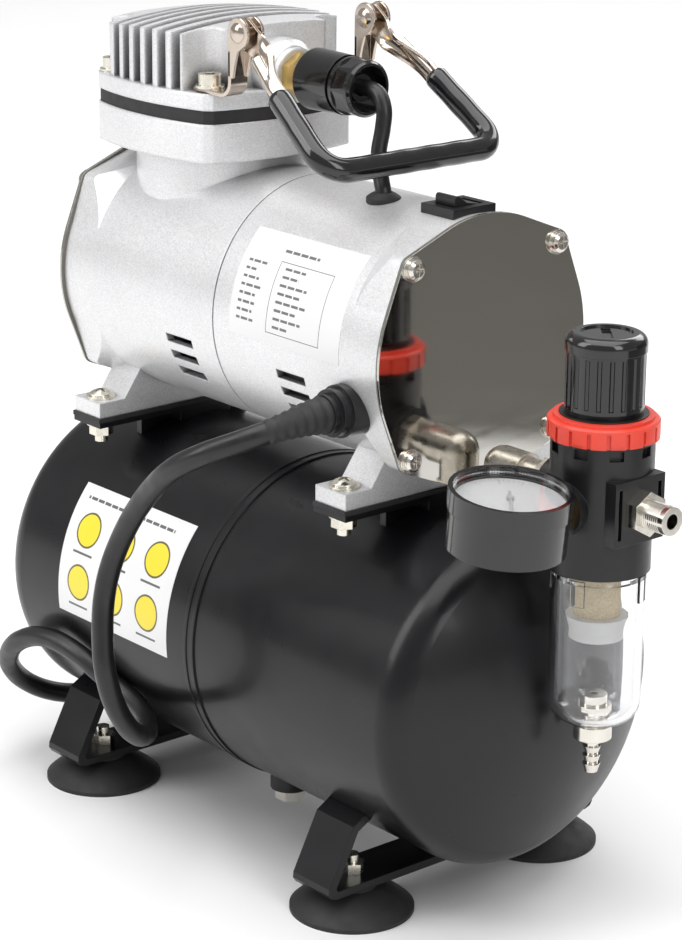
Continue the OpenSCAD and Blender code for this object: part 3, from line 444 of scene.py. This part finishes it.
def lathe(profile, at=(0, 0, 0), axis="Z", sides=64, closed=True):
    """Points and faces of a profile of (radius, along) turned about an axis through a point."""
    points, faces = [], []
    for r, h in profile:
        for k in range(sides):
            t = 2 * math.pi * k / sides
            u, v = r * math.cos(t), r * math.sin(t)
            local = {"X": (h, u, v), "Y": (u, h, v), "Z": (u, v, h)}[axis]
            points.append(tuple(a + b for a, b in zip(at, local)))
    rings = len(profile)
    for i in range(rings if closed else rings - 1):
        j = (i + 1) % rings
        for k in range(sides):
            m = (k + 1) % sides
            faces.append((i * sides + k, i * sides + m, j * sides + m, j * sides + k))
    return points, faces


def sweep(path, sections):
    """Points and faces of closed cross-sections, one per point of the path, with both ends capped."""
    n = len(sections[0])
    points = [q for ring in sections for q in ring]
    faces = [(i * n + k, i * n + (k + 1) % n, (i + 1) * n + (k + 1) % n, (i + 1) * n + k)
             for i in range(len(path) - 1) for k in range(n)]
    faces += [tuple(range(n))[::-1], tuple(range(len(points) - n, len(points)))]
    return points, faces


def merged(*parts):
    points, faces = [], []
    for p, f in parts:
        faces += [tuple(i + len(points) for i in face) for face in f]
        points += list(p)
    return points, faces


# ---------------------------------------------------------------- handle
PIVOT = (-5, 303)
HANDLE_DOWN = math.radians(35)
PIVOT_Y = 29.5
BAIL_END = 70
GRIP_R, ROD_R = 4.3, 2.35
STRAP_WIDTH, STRAP_THICK = 10.0, 1.1


def on_handle(x, y, z=0.0):
    """A point of the handle, drawn level from its pivot axis, where it rests."""
    c, s = math.cos(HANDLE_DOWN), math.sin(HANDLE_DOWN)
    return Vector((PIVOT[0] + x * c + z * s, y, PIVOT[1] - x * s + z * c))


def grip_path():
    """The middle of the grip: a side, a corner, the bar, a corner and a side."""
    side = [(32, 36.4), (36, 36.7), (40, 37.1), (46, 37.7), (53, 38.4), (59, 38.9)]
    corner = []
    for step in range(13):
        t = math.radians(95 - step * 95 / 12)
        corner.append((61 + 9 * math.cos(t), 30 + 9 * math.sin(t)))
    half = side + corner + [(BAIL_END, 22), (BAIL_END, 12)]
    return half + [(x, -y) for x, y in reversed(half)]


def make_grip():
    """The dipped sleeve, drawn in a little at its rims."""
    flat = grip_path()
    total, run = [0.0], 0.0
    for a, b in zip(flat, flat[1:]):
        run += math.hypot(b[0] - a[0], b[1] - a[1])
        total.append(run)
    path, radii = [], []
    dense = []
    for i in range(len(flat) - 1):
        steps = max(1, int((total[i + 1] - total[i]) / 1.2))
        for k in range(steps):
            t = k / steps
            dense.append((flat[i][0] + (flat[i + 1][0] - flat[i][0]) * t,
                          flat[i][1] + (flat[i + 1][1] - flat[i][1]) * t,
                          total[i] + (total[i + 1] - total[i]) * t))
    dense.append((*flat[-1], run))
    for x, y, along in dense:
        path.append((x, y))
        edge = min(along, run - along)
        radii.append(GRIP_R - 0.9 * (1 - min(edge / 1.0, 1.0)) ** 2 + 0.06 * math.sin(along * 0.5))
    sections, sides = [], 32
    for i, ((x, y), r) in enumerate(zip(path, radii)):
        a, b = path[max(i - 1, 0)], path[min(i + 1, len(path) - 1)]
        d = Vector((b[0] - a[0], b[1] - a[1])).normalized()
        sections.append([on_handle(x - d.y * r * math.cos(t), y + d.x * r * math.cos(t), r * math.sin(t))
                         for t in (2 * math.pi * k / sides for k in range(sides))])
    grip = mesh_object("grip_sleeve", *sweep(path, sections), MATERIALS["gloss_black"], "handle")
    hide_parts("handle_sleeve")


def arm(side):
    """A strip that is flat at the pivot and rolled round the rod where it meets the grip."""
    sections, path = [], []
    count, steps = 10, 44
    for step in range(steps + 1):
        x = -4.98 + (33.5 + 4.98) * step / steps
        wide = min(STRAP_WIDTH, 2 * math.sqrt(max(25 - x * x, 0.02))) if x < 0 else STRAP_WIDTH
        roll = ease((x - 5) / 11) / 2.95 + 1e-4
        y = PIVOT_Y + 6.9 * ease((x - 6.5) / 24) + 1.6 * ease((x - 12) / 14)
        outer, inner = [], []
        for k in range(count + 1):
            phi = (k / count - 0.5) * wide * roll
            for ring, radius in ((outer, 1 / roll + STRAP_THICK / 2), (inner, 1 / roll - STRAP_THICK / 2)):
                ring.append(on_handle(x, side * (y - 1 / roll + radius * math.cos(phi)),
                                      radius * math.sin(phi)))
        sections.append(outer + inner[::-1])
        path.append(x)
    return sweep(path, sections)


def make_arms():
    rods = []
    for side in (-1, 1):
        rod = [(14, 33.6), (20, 34.6), (26, 35.6), (34, 36.5)]
        ring = [[on_handle(x, side * y + ROD_R * math.cos(t), ROD_R * math.sin(t))
                 for t in (2 * math.pi * k / 20 for k in range(20))] for x, y in rod]
        rods.append(sweep(rod, ring))
    arms = mesh_object("handle_arms", *merged(arm(-1), arm(1), *rods), MATERIALS["warm_steel"], "handle",
                       smooth_angle=40)
    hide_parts("handle_bail")


def make_brackets():
    """Bent straps with two ears each, and the domed rivets that the handle turns on."""
    parts, rivets = [], []
    for side in (-1, 1):
        middle = side * PIVOT_Y
        line = [(-32.0, 279.8), (-15.5, 279.8)]
        line += [(-14.9 + 5.2 * math.sin(math.radians(q)), 285 - 5.2 * math.cos(math.radians(q)))
                 for q in range(10, 91, 10)]
        line += [(-9.7, 290), (-9.7, 296)]
        sections = []
        for i, (x, z) in enumerate(line):
            a, b = line[max(i - 1, 0)], line[min(i + 1, len(line) - 1)]
            d = Vector((b[0] - a[0], b[1] - a[1])).normalized()
            half = 4.0 if i else 3.2
            sections.append([(x - d.y * t, middle + w, z + d.x * t)
                             for t, w in ((0.8, -half), (0.8, half), (-0.8, half), (-0.8, -half))])
        parts.append(sweep(line, sections))
        outline = [(PIVOT[0] + 5.6 * math.cos(math.radians(q)), PIVOT[1] + 5.6 * math.sin(math.radians(q)))
                   for q in range(-50, 181, 11)]
        outline += [(-10.6, 297), (-10.6, 287), (-8.0, 286.4), (-7.0, 291), (-5.4, 296)]
        for ear in (-1, 1):
            y = middle + ear * 3.3
            parts.append(sweep((0, 1), [[(x, y - 0.7, z) for x, z in outline],
                                        [(x, y + 0.7, z) for x, z in outline]]))
        dome = [(0.01, -5.6), (1.2, -5.5), (2.3, -5.2), (3.2, -4.7), (3.7, -4.0), (3.7, -3.9), (1.9, -3.9),
                (1.9, 3.9), (3.7, 3.9), (3.7, 4.0), (3.2, 4.7), (2.3, 5.2), (1.2, 5.5), (0.01, 5.6)]
        rivets.append(lathe(dome, (PIVOT[0], middle, PIVOT[1]), "Y", 40, closed=False))
    brackets = mesh_object("handle_ears", *merged(*parts), MATERIALS["warm_steel"], "frame", 0.35, 30)
    mesh_object("handle_rivets", *merged(*rivets), MATERIALS["warm_steel"], "frame")
    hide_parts("handle_brackets")


make_grip()
make_arms()
make_brackets()


# ---------------------------------------------------------------- strain relief
RELIEF_START, RELIEF_END = 1.5, 26
RELIEF_R, RELIEF_TAPER = 6.4, 2.1


def make_relief():
    """The tapered sleeve round the first of the cord, ribbed so that it bends."""
    route = catmull(CORD_WAY[:5], 40)
    path, sections, run = [], [], 0.0
    for i in range(1, len(route) - 1):
        run += (route[i] - route[i - 1]).length
        if not RELIEF_START < run < RELIEF_END:
            continue
        d = (route[i + 1] - route[i - 1]).normalized()
        side = d.cross(Vector((0, 0, 1))).normalized()
        up = side.cross(d)
        r = RELIEF_R - RELIEF_TAPER * ease((run - RELIEF_START) / 24) + 0.18 * math.sin(run * 1.9)
        if run > RELIEF_END - 1:
            r -= 0.6 * (run - (RELIEF_END - 1))
        path.append(run)
        sections.append([route[i] + (side * math.cos(t) + up * math.sin(t)) * r
                         for t in (2 * math.pi * k / 32 for k in range(32))])
    mesh_object("cord_relief", *sweep(path, sections), MATERIALS["black_rubber"], "frame", smooth_angle=60)


make_relief()


# ---------------------------------------------------------------- fittings
def ridges(start, end, pitch, crest, root):
    """Profile of turned ridges between two places along the axis."""
    profile, at = [], start
    while at + pitch <= end:
        profile += [(root, at), (crest, at + 0.35 * pitch), (crest, at + 0.6 * pitch)]
        profile += [(root, at + 0.95 * pitch)]
        at += pitch
    return profile


def make_threads():
    """Threads over the outlet nipple, with a lip at its mouth."""
    low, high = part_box("outlet_nipple")
    mouth, centre = high.x / MM, (low.z + high.z) / 2 / MM
    profile = [(4.7, mouth - 9.6)] + ridges(mouth - 9.4, mouth - 1.2, 0.92, 4.98, 4.55)
    profile += [(4.6, mouth - 1.1), (4.45, mouth - 0.2), (4.2, mouth - 0.05), (3.2, mouth - 0.05),
                (2.7, mouth - 0.5), (2.7, mouth - 6), (4.3, mouth - 6.5)]
    mesh_object("outlet_thread", *lathe(profile, (0, 0, centre), "X", 64), MATERIALS["plated_steel"],
                "frame", smooth_angle=50)


make_threads()


# ---------------------------------------------------------------- printed films
MOTOR_Z, MOTOR_FILM_R = 202, 47.2
TANK_Z, TANK_FILM_R = 80.5, 63.2
DISC_PITCH_X, DISC_PITCH_Y = 21.7, 20.8


def film_places(g, axis_z, radius):
    """Millimetres along X, and round a cylinder from its top on the near side."""
    x, y, z = g.axes()
    angle = g.math("ARCTAN2", g.math("MULTIPLY", y, -1.0), g.math("SUBTRACT", z, axis_z * MM))
    return g.math("MULTIPLY", x, 1000.0), g.math("MULTIPLY", angle, radius)


def between(g, value, low, high):
    return g.math("MULTIPLY", g.math("GREATER_THAN", value, low), g.math("LESS_THAN", value, high))


def film_material(name, marks):
    g = Graph(name, Coat_Weight=0.3, Coat_Roughness=0.2)
    colour = g.mix(g.noise(20, 3), (0.76, 0.76, 0.765), (0.81, 0.81, 0.81))
    g.put("Base Color", marks(g, colour))
    g.put("Roughness", g.ramp(g.noise(6, 3), 0.3, 0.7, 0.34, 0.46))
    g.relief((g.noise(14, 2), 0.05, 0.3))
    return g.material


def bars(g, u, v, left, top, pitch, rows, thick, longest, seed):
    """Rows of plain dashes, each row with its own length."""
    place = g.math("DIVIDE", g.math("SUBTRACT", v, top), pitch)
    row = g.math("FLOOR", place)
    part = g.math("SUBTRACT", place, row)
    chance = g.add("ShaderNodeTexWhiteNoise", noise_dimensions="1D")
    g.link(g.math("ADD", row, seed), chance.inputs["W"])
    length = g.math("MULTIPLY_ADD", chance.outputs["Value"], longest * 0.5, longest * 0.5)
    inside = g.math("MULTIPLY", g.math("GREATER_THAN", u, left),
                    g.math("LESS_THAN", u, g.math("ADD", length, left)))
    dash = g.math("GREATER_THAN", g.math("FRACT", g.math("MULTIPLY_ADD", u, 0.23, row)), 0.16)
    keep = g.math("MULTIPLY", between(g, part, 0.3, 0.3 + thick / pitch), between(g, row, -0.5, rows - 0.5))
    return g.math("MULTIPLY", g.math("MULTIPLY", inside, dash), keep)


def rating_marks(g, colour):
    """A frame and rows of dashes in place of the wording."""
    u, v = film_places(g, MOTOR_Z, MOTOR_FILM_R)
    top = math.radians(44) * MOTOR_FILM_R
    ink = bars(g, u, v, 11.0, top + 11.5, 3.0, 8, 0.95, 11.0, 3.0)
    ink = g.math("MAXIMUM", ink, bars(g, u, v, 30.5, top + 11.5, 3.0, 8, 0.95, 17.0, 11.0))
    ink = g.math("MAXIMUM", ink, bars(g, u, v, 27.0, top + 5.0, 3.4, 1, 1.1, 24.0, 5.0))
    frame_u, frame_v = between(g, u, 27.6, 56.5), between(g, v, top + 10.5, top + 36.4)
    inner = g.math("MULTIPLY", between(g, u, 27.9, 56.2), between(g, v, top + 10.8, top + 36.1))
    line = g.math("SUBTRACT", g.math("MULTIPLY", frame_u, frame_v), inner)
    ink = g.math("MAXIMUM", ink, line)
    return g.mix(g.math("MULTIPLY", ink, 0.85), colour, (0.03, 0.03, 0.032))


def caution_marks(g, colour):
    """Six plain yellow discs with dashes under them."""
    u, v = film_places(g, TANK_Z, TANK_FILM_R)
    top, left = math.radians(49.3) * TANK_FILM_R, -80.0
    column = g.math("FRACT", g.math("DIVIDE", g.math("SUBTRACT", u, left + 2.0), DISC_PITCH_X))
    row = g.math("FRACT", g.math("DIVIDE", g.math("SUBTRACT", v, top + 9.0), DISC_PITCH_Y))
    dx = g.math("MULTIPLY", g.math("SUBTRACT", column, 0.5), DISC_PITCH_X)
    dy = g.math("MULTIPLY", g.math("SUBTRACT", row, 0.4), DISC_PITCH_Y)
    away = g.math("SQRT", g.math("ADD", g.math("MULTIPLY", dx, dx), g.math("MULTIPLY", dy, dy)))
    field = g.math("MULTIPLY", between(g, u, left + 2.0, left + 67.0), between(g, v, top + 9.0, top + 50.5))
    disc = g.math("MULTIPLY", g.math("LESS_THAN", away, 7.0), field)
    ring = g.math("MULTIPLY", g.math("MULTIPLY", g.math("GREATER_THAN", away, 6.3),
                                     g.math("LESS_THAN", away, 7.1)), field)
    colour = g.mix(disc, colour, (0.85, 0.68, 0.03))
    note = g.math("MULTIPLY", g.math("MULTIPLY", between(g, dx, -6.0, 6.0), between(g, dy, 8.9, 9.8)), field)
    head = bars(g, u, v, left + 5.0, top + 3.4, 4.0, 1, 1.2, 58.0, 2.0)
    ink = g.math("MAXIMUM", g.math("MAXIMUM", ring, note), head)
    return g.mix(g.math("MULTIPLY", ink, 0.88), colour, (0.02, 0.02, 0.022))


finish_node("rating_sticker", film_material("rating_film", rating_marks))
finish_node("caution_sticker", film_material("caution_film", caution_marks))


def dial_material():
    """White dial with a plain ring of ticks, every fifth one longer."""
    g = Graph("dial", Specular_IOR_Level=0.3)
    low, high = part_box("gauge_dial")
    cx, cy = (low.x + high.x) / 2, (low.y + high.y) / 2
    x, y, _ = g.axes()
    dx = g.math("MULTIPLY", g.math("SUBTRACT", x, cx), 1000.0)
    dy = g.math("MULTIPLY", g.math("SUBTRACT", y, cy), 1000.0)
    away = g.math("SQRT", g.math("ADD", g.math("MULTIPLY", dx, dx), g.math("MULTIPLY", dy, dy)))
    turn = g.math("DIVIDE", g.math("ARCTAN2", dy, dx), math.tau)
    fine = g.math("FRACT", g.math("MULTIPLY", turn, 60.0))
    bold = g.math("FRACT", g.math("MULTIPLY", turn, 12.0))
    ticks = g.math("MULTIPLY", g.math("LESS_THAN", fine, 0.16), between(g, away, 15.2, 16.6))
    long_ticks = g.math("MULTIPLY", g.math("LESS_THAN", bold, 0.05), between(g, away, 13.4, 16.6))
    paper = g.mix(g.noise(10, 2), (0.94, 0.94, 0.94), (0.97, 0.97, 0.97))
    g.put("Base Color", g.mix(g.math("MULTIPLY", g.math("MAXIMUM", ticks, long_ticks), 0.3), paper,
                              (0.05, 0.05, 0.055)))
    g.put("Roughness", g.ramp(g.noise(4, 2), 0.3, 0.7, 0.4, 0.5))
    return g.material


finish_node("gauge_dial", dial_material())


# ---------------------------------------------------------------- studio
def area_light(name, at, look, size, power, colour=(1, 1, 1)):
    data = bpy.data.lights.new(name, "AREA")
    data.shape, data.size, data.size_y = "RECTANGLE", size[0], size[1]
    data.energy, data.color = power, colour
    light = bpy.data.objects.new(name, data)
    light.location = at
    light.rotation_mode = "QUATERNION"
    light.rotation_quaternion = (Vector(look) - Vector(at)).to_track_quat("-Z", "Y")
    bpy.context.scene.collection.objects.link(light)


def studio():
    scene = bpy.context.scene
    scene.view_settings.view_transform = "Standard"
    world = bpy.data.worlds.new("studio")
    world.use_nodes = True
    world.node_tree.nodes["Background"].inputs["Color"].default_value = (1, 1, 1, 1)
    world.node_tree.nodes["Background"].inputs["Strength"].default_value = 0.42
    scene.world = world
    mesh = bpy.data.meshes.new("floor")
    mesh.from_pydata([(-14, -14, 0), (14, -14, 0), (14, 14, 0), (-14, 14, 0)], [], [(0, 1, 2, 3)])
    g = Graph("floor_pale", Specular_IOR_Level=0.2)
    g.put("Base Color", g.mix(g.noise(400, 2), (0.88, 0.88, 0.88), (0.9, 0.9, 0.9)))
    g.put("Roughness", g.ramp(g.noise(120, 2), 0.3, 0.7, 0.55, 0.65))
    away = g.add("ShaderNodeVectorMath", operation="LENGTH")
    g.link(g.place, away.inputs[0])
    g.put("Emission Color", (1, 1, 1))
    g.put("Emission Strength", g.ramp(away.outputs["Value"], 1.0, 3.2, 0.0, 0.4))
    mesh.materials.append(g.material)
    floor = bpy.data.objects.new("floor", mesh)
    scene.collection.objects.link(floor)
    area_light("overhead", (0.1, -0.2, 2.4), (0, 0, 0), (2.6, 2.6), 55)
    area_light("key", (-0.9, -1.7, 1.5), (0, 0, 0.15), (1.0, 1.6), 20)
    area_light("side", (1.9, -0.3, 1.3), (0.05, 0, 0.15), (0.7, 1.4), 12)
    area_light("rim", (-0.5, 1.8, 1.3), (0, 0, 0.15), (1.4, 0.8), 12)
    # A grey card lies behind the object and stands up at its far edge. The polished plate reflects
    # it, and a view from low in front shows it too.
    flag = bpy.data.meshes.new("studio_flag")
    lift, far, height = 0.002, 1.9, 0.9
    flag.from_pydata([(0.62, 0.234, lift), (far, 0.234, lift), (far, far, lift), (0, far, lift),
                      (0, 1, lift), (0, far, height), (far, far, height)],
                     [], [(0, 1, 2, 3, 4), (3, 2, 6, 5)])
    g = Graph("flag_grey")
    g.put("Base Color", g.mix(g.noise(60, 2), (0.13, 0.125, 0.115), (0.16, 0.155, 0.145)))
    g.put("Roughness", g.ramp(g.noise(30, 2), 0.3, 0.7, 0.8, 0.9))
    flag.materials.append(g.material)
    card = bpy.data.objects.new("studio_flag", flag)
    scene.collection.objects.link(card)


studio()
